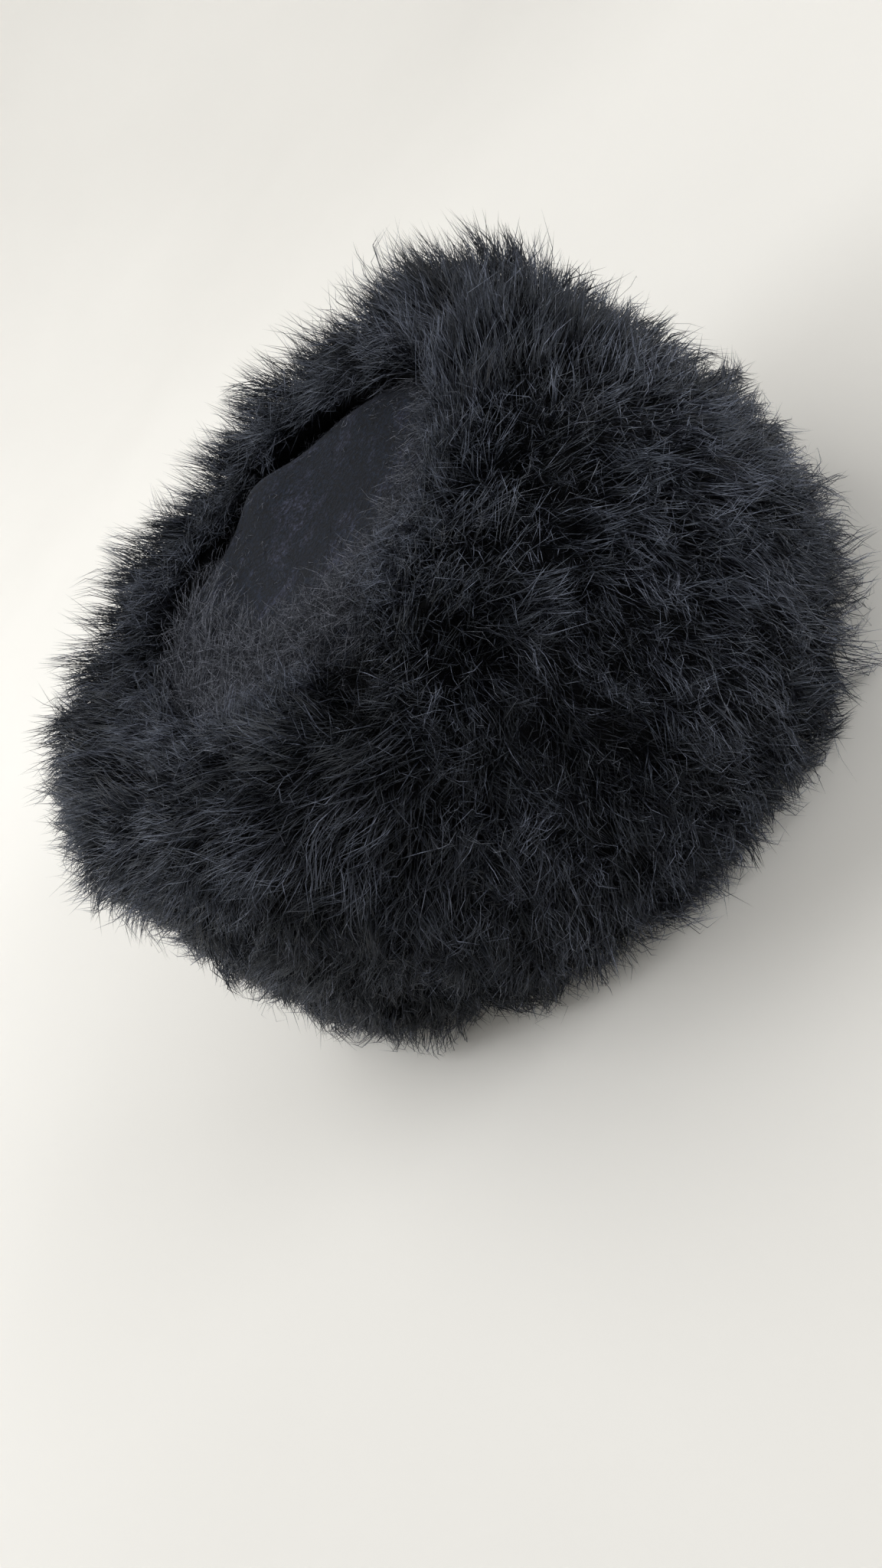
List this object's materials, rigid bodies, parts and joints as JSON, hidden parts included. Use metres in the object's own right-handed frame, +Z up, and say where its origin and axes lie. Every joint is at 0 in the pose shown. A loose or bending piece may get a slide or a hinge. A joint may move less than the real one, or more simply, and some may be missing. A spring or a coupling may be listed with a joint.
{
  "type": "turkmen telpek hat",
  "caption": "Drum-shaped hat of long black sheepskin fur round an oval head opening, closed at the top by a sunken suede crown.",
  "frame": {"origin": "middle of the hat's box at the bottom, on the surface that its rim rests on", "axes": "+Z up out of the crown, X along the long way of the head opening, and the pictured side facing -Y"},
  "size_m": [0.3158, 0.3182, 0.1657],
  "materials": {
    "hide": "napped skin side of dyed sheepskin, matt black",
    "suede": "black suede with a faint blue cast and a short nap",
    "fur": "long black sheepskin pile in clumped tufts, grey where the light catches it"
  },
  "bodies": {
    "root": {"hide_band": "hide", "crown": "suede", "fur_band": "fur"}
  },
  "joints": []
}
